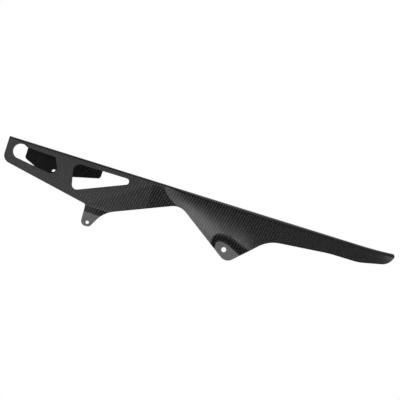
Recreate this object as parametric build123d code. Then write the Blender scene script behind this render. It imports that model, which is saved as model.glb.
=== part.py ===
from build123d import *
import os
from math import cos, hypot, radians, sin, tan

# Motorcycle chain guard, one moulded carbon-fibre laminate.
# It is drawn from a point at the front of its straight top edge: x runs to the rear, y inboard, z up.
# A depth is a distance below the top edge. A corner is its x, its depth and its radius.
# The laminate lies between the guard's outer form and the same form moved inward.

# Laminate, leaning walls and the plane of both wall bolt seats
LAMINATE = 1.8
FRONT_LEAN = 4.5
REAR_LEAN = 10.0
SEAT_Y = -1.5

# Bolt holes: two in the wall, one in the inner lip
FRONT_HOLE_X = 129.6
FRONT_HOLE_DEPTH = 78.0
FRONT_HOLE_RADIUS = 2.15
REAR_HOLE_X = 311.1
REAR_HOLE_DEPTH = 58.9
REAR_HOLE_RADIUS = 3.2
LIP_HOLE_X = 64.0
LIP_HOLE_DEPTH = 26.3
LIP_HOLE_RADIUS = 2.65

# Front end, front tab and the step in to its seat
FRONT_X = -1.0
FRONT_DEPTH = 32.4
FRONT_RADIUS = 11.0
TAB_ROOT_DEPTH = 55.8
TAB_ROOT_RADIUS = 3.0
TAB_TAPER = 1.2
TAB_FRONT = 8.2
TAB_REAR = 4.2
TAB_END = 5.3
TAB_END_RADIUS = 6.3
TAB_HEEL = (146.1, 59.8, 38.0)
STEP_ABOVE_HOLE = 21.0
STEP_HEIGHT = 8.0
STEP_RADIUS = 3.0

# Web: below a slanting fold the wall leans out further towards the saddle
FOLD_X = 123.6
FOLD_DEPTH = 54.8
FOLD_TOP_X = 198.0
FOLD_TOP_DEPTH = 5.0
WEB_LEAN = 10.0

# Saddle: the valley between web and wing
SADDLE_X = 221.5
SADDLE_SLANT = 0.8
SADDLE_EDGE = (239.4, 20.4, 21.0)

# Rear wall: stations along it, each with its x from the rear bolt hole, how far outboard its top edge
# stands, the radius of its top roll, its lean above and below a bend, and the bend's depth and half length
STATIONS = [
    (-114.0, -2.2, 2.8, 7.0, 1.0, 9.0, 4.2),
    (-94.0, 0.2, 2.8, 7.0, 1.0, 9.5, 4.3),
    (-76.0, 2.0, 5.0, 7.5, 0.5, 10.5, 4.6),
    (-46.0, 3.2, 7.0, 9.0, -3.0, 18.0, 10.5),
    (-16.0, 3.3, 8.0, 9.5, -4.5, 30.0, 20.0),
    (14.0, 3.3, 8.0, 10.0, -3.0, 34.0, 21.0),
    (34.0, 3.3, 8.0, 10.0, 1.0, 41.0, 19.0),
]
REAR_STATIONS = [
    (64.0, 3.3, 7.5, 10.0, 6.5, 46.0, 18.0),
    (110.0, 3.3, 6.0, 10.0, 9.0, 46.0, 18.0),
]

# Wing
WING_REAR = 7.3
WING_END = 16.1
WING_END_RADIUS = 12.0
WING_HEEL = (363.4, 30.8, 42.0)

# Tail and its flared tip
LENGTH = 528.5
TAIL_RUN = 48.5
TAIL_OUT = 3.3
TAIL_ROLL = 5.0
TAIL_FRONT = (84.5, 22.6, 150.0)
TAIL_REAR = (44.5, 22.3, 60.0)
TIP_DEPTH = 13.8
TIP_SLANT = 0.5
TIP_RADIUS = 18.0
TIP_TOP = (2.45, 4.0)
TIP_BACK = (22.0, 1.1)
TIP_RUN = 60.0
TIP_FLARE = 9.3
TIP_LIFT = 3.4
TIP_LEAN = 4.0

# Roll from the front wall into the top flange
FRONT_ROLL = 2.8

# Pocket round the rear bolt, open at the lower edge
POCKET_FRONT_WALL = 52.0
POCKET_TOP_WALL = 38.0
POCKET_FRONT = 14.0
POCKET_TOP = 9.8
POCKET_FALL = 24.0
POCKET_FRONT_RADIUS = 6.0
POCKET_TOP_RADIUS = 14.0
POCKET_FILLET = 4.0
POCKET_RIM = 5.5

# Windows: a round eye that opens into a slot, and a triangle
EYE_X = 18.6
EYE_DEPTH = 15.1
EYE_RADIUS = 9.9
SLOT = [(19.0, 7.4, 0.0), (64.7, 8.8, 4.0), (76.2, 33.3, 8.0), (17.6, 24.8, 0.0)]
TRIANGLE = [(89.2, 8.1, 9.0), (182.4, 7.7, 4.1), (97.4, 43.8, 6.5)]

# Inner lip: a front facet, a slanted facet that holds the bolt, and a rear facet
LIP_X = 24.1
LIP_END_X = 126.7
LIP_FRONT_Y = 32.0
LIP_REAR_Y = 54.0
LIP_FRONT_DEPTH = 21.8
LIP_REAR_DEPTH = 18.4
LIP_END_RADIUS = 4.0
LIP_APEX_FRONT = 7.0
LIP_APEX_BELOW = 9.7
LIP_APEX_RADIUS = 10.0
LIP_BEND_TO_HOLE = 13.0
LIP_BEND_RISE = 42.0
LIP_TURN = 44.0
LIP_BEND_RADIUS = 5.0
LIP_ROLL = 4.5

# Top flange: distances inboard of its inner edge
FLANGE_FRONT_Y = 27.0
FLANGE_REAR_Y = 46.0
FLANGE_TAIL_Y = 38.0
FLANGE_END_Y = 26.0
FLANGE_FRONT_RADIUS = 8.0
FLANGE_END_RADIUS = 16.0

# How far forms and cutters run past the guard
PAST = 10.0
FORM_DEPTH = 120.0
FORM_BACK = 110.0
WALL_ROOM = 1.0
WALL_BACK = LAMINATE + WALL_ROOM


def rounded(corners):
    """Closed outline with a rounded corner wherever a radius is given."""
    face = make_face(Polyline(*[(x, -depth) for x, depth, radius in corners], close=True))
    for x, depth, radius in corners:
        if radius:
            corner = face.vertices().sort_by_distance((x, -depth))[0]
            face = fillet(corner, radius)
    return face


def side_prism(face, y_start, y_end):
    """Prism of a side outline between two distances inboard."""
    return extrude(Plane.XZ.offset(-y_end) * face, amount=y_end - y_start)


def inset_profile(path, radii, inset, closing):
    """Profile whose path moves to its left by inset, with its bends kept concentric."""
    normals = []
    for (x0, y0), (x1, y1) in zip(path, path[1:]):
        length = hypot(x1 - x0, y1 - y0)
        normals.append(((y0 - y1) / length, (x1 - x0) / length))
    first = (path[0][0] + inset * normals[0][0], path[0][1] + inset * normals[0][1])
    last = (path[-1][0] + inset * normals[-1][0], path[-1][1] + inset * normals[-1][1])
    bends = []
    for (x, y), a, b in zip(path[1:-1], normals, normals[1:]):
        share = inset / (1 + a[0] * b[0] + a[1] * b[1])
        bends.append((x + share * (a[0] + b[0]), y + share * (a[1] + b[1])))
    face = make_face(Polyline(first, *bends, last, *closing, close=True))
    for bend, radius, a, b in zip(bends, radii, normals, normals[1:]):
        turns_left = a[0] * b[1] - a[1] * b[0] > 0
        corner = face.vertices().sort_by_distance(bend)[0]
        if radius:
            face = fillet(corner, radius - inset if turns_left else radius + inset)
    return face


def front_section(x, fold, lean, inset):
    """Cross-section of the front wall, which leans out further below a fold, and of the step to its seat."""
    step = FRONT_HOLE_DEPTH - STEP_ABOVE_HOLE
    fold_y = -fold * tan(radians(FRONT_LEAN))
    path = [
        (FORM_BACK, 0.0),
        (0.0, 0.0),
        (fold_y, -fold),
        (fold_y - (step - fold) * tan(radians(lean)), -step),
        (SEAT_Y, -step - STEP_HEIGHT),
        (SEAT_Y, -FORM_DEPTH),
    ]
    radii = [FRONT_ROLL, 0.0, STEP_RADIUS, STEP_RADIUS]
    return Plane.YZ.offset(x) * inset_profile(path, radii, inset, [(FORM_BACK, -FORM_DEPTH)])


def front_form(inset):
    """Front wall and the web, with their top roll and the step in to the front bolt seat."""
    sections = [
        front_section(-2 * PAST, FOLD_DEPTH, FRONT_LEAN, inset),
        front_section(FOLD_X, FOLD_DEPTH, FRONT_LEAN, inset),
        front_section(FOLD_TOP_X, FOLD_TOP_DEPTH, WEB_LEAN, inset),
        front_section(SADDLE_X + FORM_DEPTH, FOLD_TOP_DEPTH, WEB_LEAN, inset),
    ]
    return loft(sections, ruled=True)


def lip_across():
    """Direction square to the lip's bend lines, in the plane of x and z."""
    return Vector(sin(radians(LIP_BEND_RISE)), 0.0, -cos(radians(LIP_BEND_RISE)))


def lip_hole_centre():
    """Centre of the lip's bolt hole, on the inboard face of the slanted facet."""
    y = LIP_FRONT_Y + LIP_BEND_TO_HOLE * tan(radians(LIP_TURN))
    return Vector(LIP_HOLE_X, y, -LIP_HOLE_DEPTH)


def lip_form(inset):
    """Everything outboard of the inner lip's three facets."""
    across = lip_across()
    run = (LIP_REAR_Y - LIP_FRONT_Y) / tan(radians(LIP_TURN))
    path = [(LENGTH, LIP_REAR_Y), (run, LIP_REAR_Y), (0.0, LIP_FRONT_Y), (-LENGTH, LIP_FRONT_Y)]
    closing = [(-LENGTH, -FORM_BACK), (LENGTH, -FORM_BACK)]
    face = inset_profile(path, [LIP_BEND_RADIUS] * 2, inset, closing)
    bend = lip_hole_centre() - across * LIP_BEND_TO_HOLE
    plane = Plane(origin=(bend.X, 0.0, bend.Z), x_dir=across, z_dir=across.cross(Vector(0, 1, 0)))
    return extrude(plane * face, amount=LENGTH, both=True)


def rear_section(x, out, lift, bends, inset):
    """Cross-section of the rear wall and the flange; each bend has a radius, a lean and a run below it."""
    path = [(FORM_BACK, lift), (-out, lift)]
    for radius, lean, run in bends:
        y, z = path[-1]
        path.append((y - run * tan(radians(lean)), z - run))
    face = inset_profile(path, [bend[0] for bend in bends], inset, [(FORM_BACK, path[-1][1])])
    return Plane.YZ.offset(x) * face


def rear_form(inset):
    """Rear wall, wing and tail: the wall bends inboard over the wing, and its tip flares out and lifts."""
    walls = []
    for ahead, out, roll, top_lean, low_lean, bend, half in STATIONS + REAR_STATIONS:
        radius = half / tan(radians(top_lean - low_lean) / 2)
        bends = [(roll, top_lean, bend), (radius, low_lean, FORM_DEPTH - bend)]
        walls.append(rear_section(REAR_HOLE_X + ahead, out, 0.0, bends, inset))
    wing = loft(walls[:len(STATIONS)]) + loft(walls[len(STATIONS) - 1:], ruled=True)
    ahead, out, roll, top_lean = REAR_STATIONS[-1][:4]
    tail_x = LENGTH - TAIL_RUN
    tail = [
        rear_section(REAR_HOLE_X + ahead, out, 0.0, [(roll, top_lean, FORM_DEPTH)], inset),
        rear_section(tail_x, TAIL_OUT, 0.0, [(TAIL_ROLL, REAR_LEAN, FORM_DEPTH)], inset),
    ]
    tip = []
    for share in (0.0, 0.25, 0.5, 0.75, 1.0):
        curl = share**2
        lean = REAR_LEAN + (TIP_LEAN - REAR_LEAN) * curl
        bends = [(TAIL_ROLL, lean, FORM_DEPTH)]
        out = TAIL_OUT + TIP_FLARE * curl
        tip.append(rear_section(tail_x + TIP_RUN * share, out, TIP_LIFT * curl, bends, inset))
    return wing + loft(tail, ruled=True) + loft(tip)


def pocket_form(inset):
    """Pocket pressed into the wing round the rear bolt, with a steep front wall and a gentler upper one."""
    low = REAR_HOLE_DEPTH + 4 * PAST
    rear = REAR_HOLE_X + 5 * PAST
    sections = []
    for height in (0.0, 3 * PAST):
        ahead = inset * tan(radians(POCKET_FRONT_WALL / 2)) + height / tan(radians(POCKET_FRONT_WALL))
        above = inset * tan(radians(POCKET_TOP_WALL / 2)) + height / tan(radians(POCKET_TOP_WALL))
        front = REAR_HOLE_X - POCKET_FRONT - ahead
        top = REAR_HOLE_DEPTH - POCKET_TOP - above
        bend = REAR_HOLE_X + above * tan(radians(POCKET_FALL / 2))
        outline = rounded([
            (front, low, 0.0),
            (front, top, POCKET_FRONT_RADIUS + ahead),
            (bend, top, POCKET_TOP_RADIUS + above),
            (rear, top + (rear - bend) * tan(radians(POCKET_FALL)), 0.0),
            (rear, low, 0.0),
        ])
        sections.append(Plane.XZ.offset(height - SEAT_Y - inset) * outline)
    tool = loft(sections, ruled=True)
    rim = tool.faces().sort_by(Axis.Y)[-1].edges()
    return fillet(rim, POCKET_FILLET + inset)


def wing_form(inset):
    """Rear wall with the pocket pressed into its wing and the pocket's rim rounded."""
    front = REAR_HOLE_X + STATIONS[0][0]
    room = side_prism(rounded([
        (front, -PAST, 0.0),
        (front, SADDLE_EDGE[1] + PAST, 0.0),
        (SADDLE_EDGE[0], SADDLE_EDGE[1] + PAST, 0.0),
        (REAR_HOLE_X + WING_REAR, REAR_HOLE_DEPTH + WING_END + PAST, 0.0),
        (WING_HEEL[0], WING_HEEL[1] + PAST, 0.0),
        (LENGTH + 2 * PAST, WING_HEEL[1] + PAST, 0.0),
        (LENGTH + 2 * PAST, -PAST, 0.0),
    ]), -FORM_BACK, FORM_BACK)
    wall = rear_form(inset) & room
    pocket = pocket_form(inset)
    pressed = wall - pocket
    rim = []
    for edge in new_edges(wall, pocket, combined=pressed):
        if min(face.distance_to(edge.center()) for face in room.faces()) > 0.1:
            rim.append(edge)
    return fillet(rim, POCKET_RIM - inset)


def guard_form(inset):
    """Solid form of the guard with its outer skin moved inward by inset."""
    front = front_form(inset) & lip_form(inset)
    top = front.faces().sort_by(Axis.Z)[-1]
    back_edges = [
        edge for edge in top.edges()
        if edge.center().Y > FLANGE_FRONT_Y and abs(edge.tangent_at(0.5).Y) < 0.9
    ]
    front = fillet(back_edges, LIP_ROLL - inset)
    saddle = make_face(Polyline(
        (SADDLE_X - PAST * SADDLE_SLANT + inset, PAST),
        (SADDLE_X + FORM_DEPTH * SADDLE_SLANT + inset, -FORM_DEPTH),
        (-6 * PAST, -FORM_DEPTH),
        (-6 * PAST, PAST),
        close=True,
    ))
    front &= side_prism(saddle, -FORM_BACK, 2 * FORM_BACK)
    return front + wing_form(inset)


def trim_form():
    """Everything that stays when the moulding is trimmed to its outlines."""
    tab_front = FRONT_HOLE_X - TAB_FRONT
    tab_end = FRONT_HOLE_DEPTH + TAB_END
    tail_front = LENGTH - TAIL_FRONT[0]
    tail_radius = min(TAIL_FRONT[2], 3 * (tail_front - WING_HEEL[0]))
    tip_x = LENGTH - TIP_DEPTH * TIP_SLANT
    end = LENGTH + TIP_TOP[0] * TIP_SLANT
    wall = rounded([
        (FRONT_X, -PAST, 0.0),
        (FRONT_X, FRONT_DEPTH, FRONT_RADIUS),
        (tab_front - TAB_TAPER, TAB_ROOT_DEPTH, TAB_ROOT_RADIUS),
        (tab_front, tab_end, TAB_END_RADIUS),
        (FRONT_HOLE_X + TAB_REAR, tab_end, TAB_END_RADIUS),
        TAB_HEEL,
        SADDLE_EDGE,
        (REAR_HOLE_X + WING_REAR, REAR_HOLE_DEPTH + WING_END, WING_END_RADIUS),
        WING_HEEL,
        (tail_front, TAIL_FRONT[1], tail_radius),
        (LENGTH - TAIL_REAR[0], *TAIL_REAR[1:]),
        (tip_x, TIP_DEPTH, TIP_RADIUS),
        (end, -TIP_TOP[0], TIP_TOP[1]),
        (LENGTH - TIP_BACK[0], -TIP_BACK[1], 0.0),
        (LENGTH - TAIL_RUN, -PAST, 0.0),
    ])
    windows = rounded(SLOT) + rounded(TRIANGLE) + Pos(EYE_X, -EYE_DEPTH) * Circle(EYE_RADIUS)
    lip = rounded([
        (LIP_X, -PAST, 0.0),
        (LIP_X, LIP_FRONT_DEPTH, LIP_END_RADIUS),
        (LIP_HOLE_X - LIP_APEX_FRONT, LIP_HOLE_DEPTH + LIP_APEX_BELOW, LIP_APEX_RADIUS),
        (LIP_END_X, LIP_REAR_DEPTH, LIP_END_RADIUS),
        (LIP_END_X, -PAST, 0.0),
    ])
    plan = make_face(Polyline(
        (FRONT_X, WALL_BACK),
        (FRONT_X, FLANGE_FRONT_Y),
        (LIP_X, FLANGE_FRONT_Y),
        (LIP_X, LIP_REAR_Y + PAST),
        (LIP_END_X, LIP_REAR_Y + PAST),
        (LIP_END_X, FLANGE_REAR_Y),
        (tail_front, FLANGE_TAIL_Y),
        (end, FLANGE_END_Y),
        (end, WALL_BACK),
        close=True,
    ))
    plan = fillet(plan.vertices().sort_by_distance((FRONT_X, FLANGE_FRONT_Y))[0], FLANGE_FRONT_RADIUS)
    plan = fillet(plan.vertices().sort_by_distance((end, FLANGE_END_Y))[0], FLANGE_END_RADIUS)
    kept = side_prism(wall - windows, -FORM_BACK, WALL_BACK)
    kept += side_prism(lip, WALL_BACK, FORM_BACK)
    flange = extrude(Plane.XY.offset(-PAST) * plan, amount=2 * PAST)
    return kept + (flange & side_prism(wall, -FORM_BACK, FORM_BACK))


def bolt_hole(centre, radius, axis):
    """Cutter for a bolt hole through the laminate."""
    return Plane(origin=centre, z_dir=axis) * Cylinder(radius, 2 * PAST)


guard = guard_form(0.0) - guard_form(LAMINATE)
guard &= trim_form()
rear_seat = Vector(REAR_HOLE_X, SEAT_Y, -REAR_HOLE_DEPTH)
front_seat = Vector(FRONT_HOLE_X, SEAT_Y, -FRONT_HOLE_DEPTH)
lip_axis = Vector(0, 1, 0) * cos(radians(LIP_TURN)) - lip_across() * sin(radians(LIP_TURN))
guard -= bolt_hole(rear_seat, REAR_HOLE_RADIUS, (0, -1, 0))
guard -= bolt_hole(front_seat, FRONT_HOLE_RADIUS, (0, -1, 0))
guard -= bolt_hole(lip_hole_centre(), LIP_HOLE_RADIUS, lip_axis)

# The part's own origin is the rear bolt hole, on the outer face of its seat
guard = Pos(-rear_seat) * guard

os.makedirs("parts", exist_ok=True)
export_step(guard, "parts/chain_guard.step")
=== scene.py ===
from math import cos, pi, radians, sin

import bpy
from mathutils import Matrix, Vector


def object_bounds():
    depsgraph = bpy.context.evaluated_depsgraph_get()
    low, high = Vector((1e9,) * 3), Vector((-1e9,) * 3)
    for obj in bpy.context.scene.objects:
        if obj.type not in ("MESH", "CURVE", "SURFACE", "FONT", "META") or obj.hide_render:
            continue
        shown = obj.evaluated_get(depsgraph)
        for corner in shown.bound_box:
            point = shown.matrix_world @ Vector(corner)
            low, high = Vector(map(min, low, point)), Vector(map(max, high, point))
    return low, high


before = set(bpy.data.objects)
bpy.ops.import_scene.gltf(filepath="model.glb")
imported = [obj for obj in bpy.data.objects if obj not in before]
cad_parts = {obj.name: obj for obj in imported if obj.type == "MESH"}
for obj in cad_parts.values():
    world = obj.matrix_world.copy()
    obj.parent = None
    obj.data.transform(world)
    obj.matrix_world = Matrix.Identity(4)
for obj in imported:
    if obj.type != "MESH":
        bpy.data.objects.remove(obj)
cad_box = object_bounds()


# Chain guard: the whole part is one carbon-fibre moulding, laid up in a female mould, cured and trimmed.
# The side that lay against the mould has a clear lacquer over the twill cloth, and the inner side is bare,
# duller resin. It has no other pieces, and is bolted through the three holes in it.

def linear(hex_colour):
    """A written sRGB colour as the linear RGBA that a socket takes."""
    shares = [int(hex_colour[i:i + 2], 16) / 255 for i in (1, 3, 5)]
    return tuple(c / 12.92 if c <= 0.04045 else ((c + 0.055) / 1.055) ** 2.4 for c in shares) + (1.0,)


def add(tree, kind, inputs, **settings):
    """Adds a node with its settings, and sets or links its inputs."""
    made = tree.nodes.new(kind)
    for name, value in settings.items():
        setattr(made, name, value)
    for socket, value in inputs.items():
        if isinstance(value, bpy.types.NodeSocket):
            tree.links.new(value, made.inputs[socket])
        else:
            made.inputs[socket].default_value = value
    return made


# Lacquered twill carbon: each tow passes over two others and under two, a step further along than its
# neighbour, so the floats lie in slanting ribs. The floats that run one way are painted lighter, a painted
# sheen for the light they catch, and the others stay dark, which gives rows of dots. The lacquer over them
# is smooth and mirrors what is round it softly.
laminate = bpy.data.materials.new("lacquered_twill_carbon")
laminate.use_nodes = True
cloth = laminate.node_tree
cloth.nodes.clear()
place = add(cloth, "ShaderNodeTexCoord", {})
at = add(cloth, "ShaderNodeSeparateXYZ", {0: place.outputs["Object"]}).outputs
facing = add(cloth, "ShaderNodeSeparateXYZ", {0: place.outputs["Normal"]}).outputs

# The cloth runs up the wall and on over the fold, so on the flange it is measured inboard
FOLD_Y_MM = 1.5
FLANGE_TILT = 0.7
level = add(cloth, "ShaderNodeMath", {0: facing[2]}, operation="ABSOLUTE").outputs[0]
on_flange = add(cloth, "ShaderNodeMath", {0: level, 1: FLANGE_TILT}, operation="GREATER_THAN").outputs[0]
inboard = add(cloth, "ShaderNodeMath", {0: at[1], 1: FOLD_Y_MM / 1000}, operation="SUBTRACT").outputs[0]
over_fold = add(cloth, "ShaderNodeMath", {0: inboard, 1: on_flange}, operation="MULTIPLY").outputs[0]
rise = add(cloth, "ShaderNodeMath", {0: at[2], 1: over_fold}, operation="ADD").outputs[0]
flat = add(cloth, "ShaderNodeCombineXYZ", {0: at[0], 1: rise}).outputs[0]

# Cloth is never laid dead straight: it mostly wanders by up to half a millimetre
DRIFTS_PER_M = 22.0
DRIFT_M = 0.003
NOISE_MEAN = (0.5, 0.5, 0.5)
drift = add(
    cloth,
    "ShaderNodeTexNoise",
    {"Vector": flat, "Scale": DRIFTS_PER_M, "Detail": 1.0},
).outputs["Color"]
drift = add(cloth, "ShaderNodeVectorMath", {0: drift, 1: NOISE_MEAN}, operation="SUBTRACT").outputs[0]
drift = add(cloth, "ShaderNodeVectorMath", {0: drift, "Scale": DRIFT_M}, operation="SCALE").outputs[0]
laid = add(cloth, "ShaderNodeVectorMath", {0: flat, 1: drift}, operation="ADD").outputs[0]

# On the web the photograph's ribs measure 3.3 mm and its rows of floats 2.8 mm. They are drawn coarser,
# at 3.5 and 3.2 mm, because finer dots would be lost between its pixels.
RIB_MM = 3.5
RIB_ACROSS_DEG = -13.0
ROW_MM = 3.2
ROW_ACROSS_DEG = 87.0
FLOAT_TOWS = 2
TWILL_REPEAT = 2 * FLOAT_TOWS
ribs_per_m = 1000 * TWILL_REPEAT / 2 / RIB_MM
rows_per_m = 1000 / ROW_MM
rib_angle = radians(RIB_ACROSS_DEG)
row_angle = radians(ROW_ACROSS_DEG)
across_rib = (cos(rib_angle) * ribs_per_m, sin(rib_angle) * ribs_per_m, 0.0)
across_row = (cos(row_angle) * rows_per_m, sin(row_angle) * rows_per_m, 0.0)
rib = add(cloth, "ShaderNodeVectorMath", {0: laid, 1: across_rib}, operation="DOT_PRODUCT").outputs["Value"]
row = add(cloth, "ShaderNodeVectorMath", {0: laid, 1: across_row}, operation="DOT_PRODUCT").outputs["Value"]
warp = add(cloth, "ShaderNodeMath", {0: rib, 1: row}, operation="ADD").outputs[0]
weft = add(cloth, "ShaderNodeMath", {0: rib, 1: row}, operation="SUBTRACT").outputs[0]
warp_no = add(cloth, "ShaderNodeMath", {0: warp}, operation="FLOOR").outputs[0]
weft_no = add(cloth, "ShaderNodeMath", {0: weft}, operation="FLOOR").outputs[0]
warp_in = add(cloth, "ShaderNodeMath", {0: warp}, operation="FRACT").outputs[0]
weft_in = add(cloth, "ShaderNodeMath", {0: weft}, operation="FRACT").outputs[0]
step = add(cloth, "ShaderNodeMath", {0: warp_no, 1: weft_no}, operation="ADD").outputs[0]
stage_no = add(cloth, "ShaderNodeMath", {0: step, 1: TWILL_REPEAT}, operation="FLOORED_MODULO").outputs[0]
warp_up = add(cloth, "ShaderNodeMath", {0: stage_no, 1: FLOAT_TOWS - 0.5}, operation="LESS_THAN").outputs[0]

# Height of a float: crowned across the tow, and dipping where its ends pass under
TOW_RELIEF_M = 0.0003
across = add(cloth, "ShaderNodeMix", {0: warp_up, 2: weft_in, 3: warp_in}).outputs[0]
run_in = add(cloth, "ShaderNodeMix", {0: warp_up, 2: warp_in, 3: weft_in}).outputs[0]
run_no = add(cloth, "ShaderNodeMath", {0: stage_no, 1: FLOAT_TOWS}, operation="FLOORED_MODULO").outputs[0]
run = add(cloth, "ShaderNodeMath", {0: run_no, 1: run_in}, operation="ADD").outputs[0]
crown_arc = add(cloth, "ShaderNodeMath", {0: across, 1: pi}, operation="MULTIPLY").outputs[0]
crown = add(cloth, "ShaderNodeMath", {0: crown_arc}, operation="SINE").outputs[0]
dip_arc = add(cloth, "ShaderNodeMath", {0: run, 1: pi / FLOAT_TOWS}, operation="MULTIPLY").outputs[0]
dip = add(cloth, "ShaderNodeMath", {0: dip_arc}, operation="SINE").outputs[0]
height = add(cloth, "ShaderNodeMath", {0: crown, 1: dip}, operation="MULTIPLY").outputs[0]
tow_relief = add(
    cloth,
    "ShaderNodeBump",
    {"Strength": 1.0, "Distance": TOW_RELIEF_M, "Height": height},
).outputs[0]

# The painted sheen differs at random from crossing to crossing, so no two dots are quite as light
SHEEN_SPREAD = 0.45
float_no = add(cloth, "ShaderNodeCombineXYZ", {0: warp_no, 1: weft_no}).outputs[0]
chance = add(
    cloth,
    "ShaderNodeTexWhiteNoise",
    {"Vector": float_no},
    noise_dimensions="2D",
).outputs["Value"]
sheen_spread = add(
    cloth,
    "ShaderNodeMapRange",
    {0: chance, 3: 1 - SHEEN_SPREAD, 4: 1 + SHEEN_SPREAD},
).outputs[0]
# Painted sheen: how much of the lit fibre colour each float gets, by its height and crown
sheen = add(cloth, "ShaderNodeMath", {0: warp_up, 1: height}, operation="MULTIPLY").outputs[0]
sheen = add(cloth, "ShaderNodeMath", {0: sheen, 1: crown}, operation="MULTIPLY").outputs[0]
sheen = add(cloth, "ShaderNodeMath", {0: sheen, 1: sheen_spread}, operation="MULTIPLY").outputs[0]

# The painted sheen of the weave is clearest from the web to the wing, and fades to an even mean to the
# front and along the tail
FRONT_FADE_X_M = (-0.25, -0.17)
TAIL_FADE_X_M = (-0.03, 0.12)
FAINT = 0.2
MEAN_SHEEN = 0.14
from_front = add(
    cloth,
    "ShaderNodeMapRange",
    {0: at[0], 1: FRONT_FADE_X_M[0], 2: FRONT_FADE_X_M[1], 3: FAINT, 4: 1.0},
).outputs[0]
to_tail = add(
    cloth,
    "ShaderNodeMapRange",
    {0: at[0], 1: TAIL_FADE_X_M[0], 2: TAIL_FADE_X_M[1], 3: 1.0, 4: FAINT},
).outputs[0]
clear = add(cloth, "ShaderNodeMath", {0: from_front, 1: to_tail}, operation="MULTIPLY").outputs[0]
sheen = add(cloth, "ShaderNodeMix", {0: clear, 2: MEAN_SHEEN, 3: sheen}).outputs[0]

# Inner side: the back of the wall, the underside of the flange and the lip's side towards the wall
WALL_WITHIN_Y_M = 0.0215
LIP_BEYOND_Y_M = 0.0265
TILT_INBOARD = 0.15
TILT_OUTBOARD = -0.1
TILT_DOWN = -0.6
behind = add(cloth, "ShaderNodeMath", {0: facing[1], 1: TILT_INBOARD}, operation="GREATER_THAN").outputs[0]
near = add(cloth, "ShaderNodeMath", {0: at[1], 1: WALL_WITHIN_Y_M}, operation="LESS_THAN").outputs[0]
wall_back = add(cloth, "ShaderNodeMath", {0: behind, 1: near}, operation="MULTIPLY").outputs[0]
under = add(cloth, "ShaderNodeMath", {0: facing[2], 1: TILT_DOWN}, operation="LESS_THAN").outputs[0]
ahead = add(cloth, "ShaderNodeMath", {0: facing[1], 1: TILT_OUTBOARD}, operation="LESS_THAN").outputs[0]
far = add(cloth, "ShaderNodeMath", {0: at[1], 1: LIP_BEYOND_Y_M}, operation="GREATER_THAN").outputs[0]
lip_front = add(cloth, "ShaderNodeMath", {0: ahead, 1: far}, operation="MULTIPLY").outputs[0]
inner = add(cloth, "ShaderNodeMath", {0: wall_back, 1: under}, operation="MAXIMUM").outputs[0]
inner = add(cloth, "ShaderNodeMath", {0: inner, 1: lip_front}, operation="MAXIMUM").outputs[0]

# Shaded and lit fibre, the pair that the painted sheen mixes, which differ more under the lacquer than on
# the bare side
LACQUERED_ROUGH = 0.4
BARE_ROUGH = 0.6
lacquered = add(
    cloth,
    "ShaderNodeMix",
    {0: sheen, 6: linear("#030304"), 7: linear("#4d4d50")},
    data_type="RGBA",
).outputs[2]
bare = add(
    cloth,
    "ShaderNodeMix",
    {0: sheen, 6: linear("#171718"), 7: linear("#353538")},
    data_type="RGBA",
).outputs[2]
fibre = add(cloth, "ShaderNodeMix", {0: inner, 6: lacquered, 7: bare}, data_type="RGBA").outputs[2]
rough = add(cloth, "ShaderNodeMix", {0: inner, 2: LACQUERED_ROUGH, 3: BARE_ROUGH}).outputs[0]
lacquer = add(cloth, "ShaderNodeMath", {0: 1.0, 1: inner}, operation="SUBTRACT").outputs[0]
shell = add(
    cloth,
    "ShaderNodeBsdfPrincipled",
    {
        "Base Color": fibre,
        "Roughness": rough,
        "Normal": tow_relief,
        "IOR": 1.5,
        "Specular IOR Level": 0.2,
        "Coat Weight": lacquer,
        "Coat Roughness": 0.16,
        "Coat IOR": 1.5,
    },
).outputs[0]
add(cloth, "ShaderNodeOutputMaterial", {"Surface": shell})
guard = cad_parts["chain_guard"]
guard.material_slots[0].material = laminate


# Floor: a plain pale studio floor below the part, which hangs level over it and casts its shadow there.
# Towards its edge the camera sees it fade into the white room, and from below it is clear.
FLOOR_SIZE_M = 2.0
FLOOR_DROP_M = 0.45
MIDDLE_X_M = -0.05
bpy.ops.object.select_all(action="DESELECT")
bpy.ops.mesh.primitive_plane_add(
    size=FLOOR_SIZE_M,
    location=(MIDDLE_X_M, 0.0, cad_box[0].z - FLOOR_DROP_M),
)
floor = bpy.context.object
floor.name = "floor"
floor.visible_glossy = False

# Pale floor paint: matt, so that it shows only light and soft shadow
FLOOR_FADE_M = (0.25, 0.95)
pale = bpy.data.materials.new("pale_floor_paint")
pale.use_nodes = True
paint = pale.node_tree
paint.nodes.clear()
lit = add(paint, "ShaderNodeBsdfDiffuse", {"Color": linear("#f4f4f2")}).outputs[0]
spread = add(paint, "ShaderNodeTexCoord", {}).outputs["Object"]
spread = add(paint, "ShaderNodeVectorMath", {0: spread}, operation="LENGTH").outputs["Value"]
edge = add(
    paint,
    "ShaderNodeMapRange",
    {0: spread, 1: FLOOR_FADE_M[0], 2: FLOOR_FADE_M[1]},
    interpolation_type="SMOOTHSTEP",
).outputs[0]
by_eye = add(paint, "ShaderNodeLightPath", {}).outputs["Is Camera Ray"]
edge = add(paint, "ShaderNodeMath", {0: edge, 1: by_eye}, operation="MULTIPLY").outputs[0]
blank = add(paint, "ShaderNodeEmission", {"Color": linear("#ffffff"), "Strength": 1.0}).outputs[0]
faded = add(paint, "ShaderNodeMixShader", {0: edge, 1: lit, 2: blank}).outputs[0]
from_below = add(paint, "ShaderNodeNewGeometry", {}).outputs["Backfacing"]
from_below = add(paint, "ShaderNodeMath", {0: from_below, 1: by_eye}, operation="MULTIPLY").outputs[0]
clear_pane = add(paint, "ShaderNodeBsdfTransparent", {}).outputs[0]
one_way = add(paint, "ShaderNodeMixShader", {0: from_below, 1: faded, 2: clear_pane}).outputs[0]
add(paint, "ShaderNodeOutputMaterial", {"Surface": one_way})
floor.data.materials.append(pale)


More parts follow.
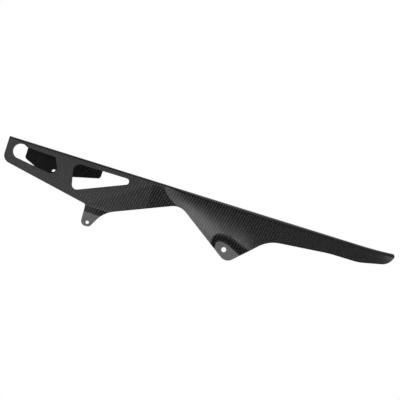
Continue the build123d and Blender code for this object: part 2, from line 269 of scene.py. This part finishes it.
# Studio: a white room, and one soft box over the part that lights it and throws its shadow on the floor.
# Together they light the wall at a plain level, where a colour renders about as it is written.
ROOM_LIGHT = 0.87
world = bpy.data.worlds.new("studio")
bpy.context.scene.world = world
world.use_nodes = True
room = world.node_tree
room.nodes.clear()
path = add(room, "ShaderNodeLightPath", {}).outputs
seen = add(
    room,
    "ShaderNodeMath",
    {0: path["Is Camera Ray"], 1: path["Is Glossy Ray"]},
    operation="MAXIMUM",
).outputs[0]
seen = add(
    room,
    "ShaderNodeMath",
    {0: seen, 1: path["Is Transmission Ray"]},
    operation="MAXIMUM",
).outputs[0]
dim = add(room, "ShaderNodeBackground", {"Color": linear("#ffffff"), "Strength": ROOM_LIGHT}).outputs[0]
white = add(room, "ShaderNodeBackground", {"Color": linear("#ffffff"), "Strength": 1.0}).outputs[0]
shown = add(room, "ShaderNodeMixShader", {0: seen, 1: dim, 2: white}).outputs[0]
add(room, "ShaderNodeOutputWorld", {"Surface": shown})
bpy.context.scene.view_settings.view_transform = "Standard"

BOX_WIDTH_M = 1.4
BOX_DEPTH_M = 1.0
BOX_RADIANCE = 1.8
BOX_PLACE_M = (-0.4, -0.5, 1.7)
BOX_AIM_M = (MIDDLE_X_M, 0.0, 0.03)
box_lamp = bpy.data.lights.new("overhead_box", "AREA")
box_lamp.shape = "RECTANGLE"
box_lamp.size = BOX_WIDTH_M
box_lamp.size_y = BOX_DEPTH_M
box_lamp.energy = BOX_RADIANCE * pi * BOX_WIDTH_M * BOX_DEPTH_M
overhead_box = bpy.data.objects.new("overhead_box", box_lamp)
bpy.context.scene.collection.objects.link(overhead_box)
overhead_box.location = BOX_PLACE_M
overhead_box.visible_glossy = False
overhead_box.rotation_mode = "QUATERNION"
overhead_box.rotation_quaternion = (Vector(BOX_AIM_M) - Vector(BOX_PLACE_M)).to_track_quat("-Z", "Y")


# Tent: dark cloth hung round the part to keep the white room out of its gloss, which alone sees it.
# It is paler above and behind, and has soft bright panels: a long one low in front, a fainter one further
# down, and a narrow one on the left.
TENT_RADIUS_M = 3.4
bpy.ops.object.select_all(action="DESELECT")
bpy.ops.mesh.primitive_uv_sphere_add(segments=64, ring_count=32, radius=TENT_RADIUS_M)
tent = bpy.context.object
tent.name = "tent"
tent.visible_camera = False
tent.visible_diffuse = False
tent.visible_transmission = False
tent.visible_shadow = False

# Dark tent cloth: gives the lacquer its deep black, and its panels give the broad soft highlights
TENT_DARK = 0.07
TENT_OPEN = 0.6
UP_AND_BACK = (0.0, 0.7, 0.7)
OPENS_FROM = 0.3
OPENS_TO = 0.95
TENT_PANELS = [
    # Azimuth, elevation, reach to each side, upwards and downwards in degrees, and brightness
    (0.0, -8.2, 24.0, 12.6, 4.0, 3.8),
    (-4.0, -40.0, 20.0, 18.0, 18.0, 0.6),
    (-22.0, 15.0, 6.5, 12.0, 12.0, 3.3),
]
tent_cloth = bpy.data.materials.new("dark_tent_cloth")
tent_cloth.use_nodes = True
drape = tent_cloth.node_tree
drape.nodes.clear()
spot = add(drape, "ShaderNodeTexCoord", {}).outputs["Object"]
spot = add(drape, "ShaderNodeVectorMath", {0: spot}, operation="NORMALIZE").outputs[0]
way = add(drape, "ShaderNodeSeparateXYZ", {0: spot}).outputs
outward = add(drape, "ShaderNodeMath", {0: way[1], 1: -1.0}, operation="MULTIPLY").outputs[0]
azimuth = add(drape, "ShaderNodeMath", {0: way[0], 1: outward}, operation="ARCTAN2").outputs[0]
elevation = add(drape, "ShaderNodeMath", {0: way[2]}, operation="ARCSINE").outputs[0]
opening = add(
    drape,
    "ShaderNodeVectorMath",
    {0: spot, 1: UP_AND_BACK},
    operation="DOT_PRODUCT",
).outputs["Value"]
glow = add(
    drape,
    "ShaderNodeMapRange",
    {0: opening, 1: OPENS_FROM, 2: OPENS_TO, 3: TENT_DARK, 4: TENT_OPEN},
).outputs[0]
for az_deg, el_deg, aside_deg, up_deg, down_deg, brightness in TENT_PANELS:
    aside = add(drape, "ShaderNodeMath", {0: azimuth, 1: radians(az_deg)}, operation="SUBTRACT").outputs[0]
    above = add(
        drape,
        "ShaderNodeMath",
        {0: elevation, 1: radians(el_deg)},
        operation="SUBTRACT",
    ).outputs[0]
    aside = add(drape, "ShaderNodeMath", {0: aside, 1: radians(aside_deg)}, operation="DIVIDE").outputs[0]
    below = add(drape, "ShaderNodeMath", {0: above, 1: 0.0}, operation="LESS_THAN").outputs[0]
    reach = add(drape, "ShaderNodeMix", {0: below, 2: radians(up_deg), 3: radians(down_deg)}).outputs[0]
    above = add(drape, "ShaderNodeMath", {0: above, 1: reach}, operation="DIVIDE").outputs[0]
    off = add(drape, "ShaderNodeCombineXYZ", {0: aside, 1: above}).outputs[0]
    off = add(drape, "ShaderNodeVectorMath", {0: off, 1: off}, operation="DOT_PRODUCT").outputs["Value"]
    fade = add(drape, "ShaderNodeMath", {0: off, 1: -1.0}, operation="MULTIPLY").outputs[0]
    fade = add(drape, "ShaderNodeMath", {0: fade}, operation="EXPONENT").outputs[0]
    glow = add(
        drape,
        "ShaderNodeMath",
        {0: fade, 1: brightness, 2: glow},
        operation="MULTIPLY_ADD",
    ).outputs[0]
shine = add(drape, "ShaderNodeEmission", {"Color": linear("#ffffff"), "Strength": glow}).outputs[0]
add(drape, "ShaderNodeOutputMaterial", {"Surface": shine})
tent.data.materials.append(tent_cloth)


# Camera: level with the part and square to its wall, rolled as the photograph is, with a long lens.
# The picture is 400 pixels wide, and its scale holds in the plane in which the wall folds.
PICTURE_PIXELS = 400
MM_PER_PIXEL = 1.311
SENSOR_MM = 36.0
CAMERA_DISTANCE_M = 3.0
ROLL_DEG = 17.35
PICTURE_MIDDLE_M = (-0.0491, FOLD_Y_MM / 1000, 0.0529)
camera_data = bpy.data.cameras.new("camera")
camera_data.sensor_width = SENSOR_MM
camera_data.lens = SENSOR_MM * CAMERA_DISTANCE_M * 1000 / (PICTURE_PIXELS * MM_PER_PIXEL)
camera = bpy.data.objects.new("camera", camera_data)
bpy.context.scene.collection.objects.link(camera)
roll = radians(ROLL_DEG)
right = Vector((cos(roll), 0.0, sin(roll)))
up = Vector((-sin(roll), 0.0, cos(roll)))
back = Vector((0.0, -1.0, 0.0))
turn = Matrix((right, up, back)).transposed()
place_m = Vector(PICTURE_MIDDLE_M) + back * CAMERA_DISTANCE_M
camera.matrix_world = Matrix.Translation(place_m) @ turn.to_4x4()
bpy.context.scene.camera = camera
